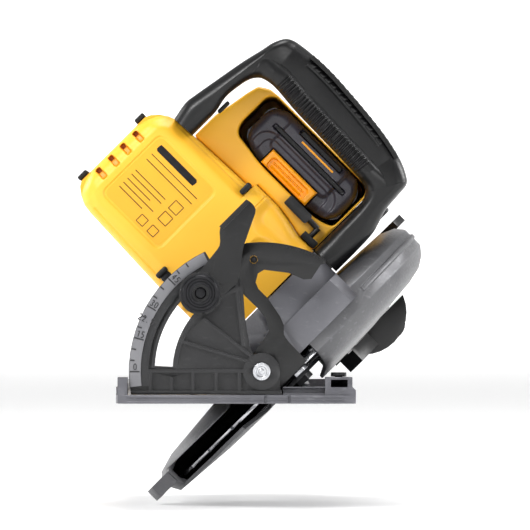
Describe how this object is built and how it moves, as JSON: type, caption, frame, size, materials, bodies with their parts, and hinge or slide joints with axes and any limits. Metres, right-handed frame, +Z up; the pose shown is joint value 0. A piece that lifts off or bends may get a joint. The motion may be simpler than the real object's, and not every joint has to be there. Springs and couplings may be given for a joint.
{
  "type": "circular saw",
  "caption": "Cordless rear-handle circular saw, tilted for a bevel cut, with tipping body, sprung lower guard and slide-in battery.",
  "frame": {"origin": "point of the shoe's sole right below the front bevel pivot", "axes": "+X towards the blade side, +Y towards the rear of the saw, +Z up from the sole"},
  "size_m": [0.2064, 0.3581, 0.2768],
  "materials": {
    "housing_yellow": "moulded, fine texture",
    "button_yellow": "moulded",
    "black_plastic": "moulded glass-filled nylon",
    "rubber": "moulded",
    "black_steel": "satin black",
    "charcoal_casting": "painted casting",
    "scale_grey": "satin",
    "cast_grey": "cast magnesium, painted",
    "guard_grey": "painted",
    "steel": "zinc plated or ground",
    "winding": "lacquered copper",
    "pack_grey": "moulded"
  },
  "bodies": {
    "shoe_base": {"shoe": "cast_grey", "front_quadrant": "charcoal_casting", "bevel_scale": "scale_grey", "front_pivot_bolt": "steel", "rear_pivot_bracket": "charcoal_casting", "rear_pivot_pin": "steel"},
    "fence_knob": {"fence_screw": "black_steel"},
    "bevel_carriage": {"bevel_bracket": "black_steel", "depth_pivot_pin": "steel", "bevel_stud": "steel", "depth_arm": "black_steel"},
    "bevel_clamp": {"bevel_lever": "black_steel"},
    "saw_frame": {"upper_guard": "guard_grey", "gear_case": "cast_grey", "motor_housing": "housing_yellow", "motor_end_cap": "housing_yellow", "bumper_top": "rubber", "bumper_bottom": "rubber", "stator": "winding", "outer_bearing": "steel", "inner_bearing": "steel", "spindle_bearing": "steel", "battery_bay": "housing_yellow", "battery_terminal": "black_plastic", "controller": "pack_grey", "hook_mount": "black_plastic", "aux_handle": "black_plastic", "aux_grip": "rubber", "rear_handle_left": "black_plastic", "rear_handle_right": "black_plastic", "dust_spout": "black_plastic"},
    "guard_unit": {"lower_guard": "guard_grey", "guard_lever": "black_plastic", "guard_spring": "steel"},
    "depth_clamp": {"depth_bolt": "steel", "depth_lever": "black_plastic"},
    "spindle_lock_unit": {"spindle_lock": "black_plastic"},
    "blade_unit": {"saw_blade": "steel", "spindle": "steel", "inner_flange": "steel", "outer_flange": "steel", "blade_bolt": "black_steel", "drive_gear": "steel"},
    "rotor_unit": {"rotor": "steel", "motor_pinion": "steel", "cooling_fan": "black_plastic"},
    "battery": {"battery_pack": "pack_grey"},
    "battery_latch": {"battery_button": "button_yellow"},
    "hook": {"rafter_hook": "black_steel"},
    "trigger_unit": {"trigger": "rubber"},
    "lock_off_unit": {"lock_off_button": "rubber"}
  },
  "joints": [
    {"name": "fence_screw_turn", "type": "hinge", "parent": "shoe_base", "child": "fence_knob", "pos_m": [0.045, -0.001, 0.016], "axis": [0, 0, 1], "continuous": true},
    {"name": "bevel_tilt", "type": "hinge", "parent": "shoe_base", "child": "bevel_carriage", "pos_m": [0, 0, 0.0186], "axis": [0, 1, 0], "range_deg": [-45, 8]},
    {"name": "bevel_lever_turn", "type": "hinge", "parent": "bevel_carriage", "child": "bevel_clamp", "pos_m": [-0.03555, 0, 0.06443], "axis": [0, -1, 0], "range_deg": [0, 60]},
    {"name": "depth_tip", "type": "hinge", "parent": "bevel_carriage", "child": "saw_frame", "pos_m": [0.01061, 0.022, 0.02921], "axis": [0.7071, 0, -0.7071], "range_deg": [0, 30]},
    {"name": "guard_swing", "type": "hinge", "parent": "saw_frame", "child": "guard_unit", "pos_m": [0.00848, 0.125, 0.02709], "axis": [0.7071, 0, -0.7071], "range_deg": [0, 102], "stiffness_Nm_per_rad": 0.15, "springref_deg": -45.84},
    {"name": "depth_lever_turn", "type": "hinge", "parent": "saw_frame", "child": "depth_clamp", "pos_m": [-0.00759, 0.24695, 0.02516], "axis": [0.7071, 0, -0.7071], "range_deg": [0, 30]},
    {"name": "spindle_lock_press", "type": "slide", "parent": "saw_frame", "child": "spindle_lock_unit", "axis": [0, -1, 0], "range_m": [0, 0.003], "stiffness_N_per_m": 400, "springref_m": -0.003},
    {"name": "blade_spin", "type": "hinge", "parent": "saw_frame", "child": "blade_unit", "pos_m": [0.00848, 0.125, 0.02709], "axis": [0.7071, 0, -0.7071], "continuous": true},
    {"name": "motor_spin", "type": "hinge", "parent": "saw_frame", "child": "rotor_unit", "pos_m": [0.02192, 0.11, 0.04052], "axis": [0.7071, 0, -0.7071], "continuous": true},
    {"name": "battery_slide", "type": "slide", "parent": "saw_frame", "child": "battery", "axis": [0, -1, 0], "range_m": [0, 0.13]},
    {"name": "battery_release", "type": "slide", "parent": "battery", "child": "battery_latch", "axis": [0, 1, 0], "range_m": [0, 0.003], "stiffness_N_per_m": 400, "springref_m": -0.003},
    {"name": "hook_swing", "type": "hinge", "parent": "saw_frame", "child": "hook", "pos_m": [0.02864, 0.0885, 0.09744], "axis": [0.7071, 0, 0.7071], "range_deg": [0, 95]},
    {"name": "trigger_pull", "type": "hinge", "parent": "saw_frame", "child": "trigger_unit", "pos_m": [0.05374, 0.256, 0.11194], "axis": [0.7071, 0, -0.7071], "range_deg": [0, 9], "stiffness_Nm_per_rad": 2, "springref_deg": -8.59},
    {"name": "lock_off_press", "type": "slide", "parent": "saw_frame", "child": "lock_off_unit", "axis": [0.7071, 0, -0.7071], "range_m": [0, 0.003], "stiffness_N_per_m": 300, "springref_m": -0.002}
  ],
  "couplings": [
    {"joint": "motor_spin", "follows": "blade_spin", "ratio": -4.3333}
  ]
}
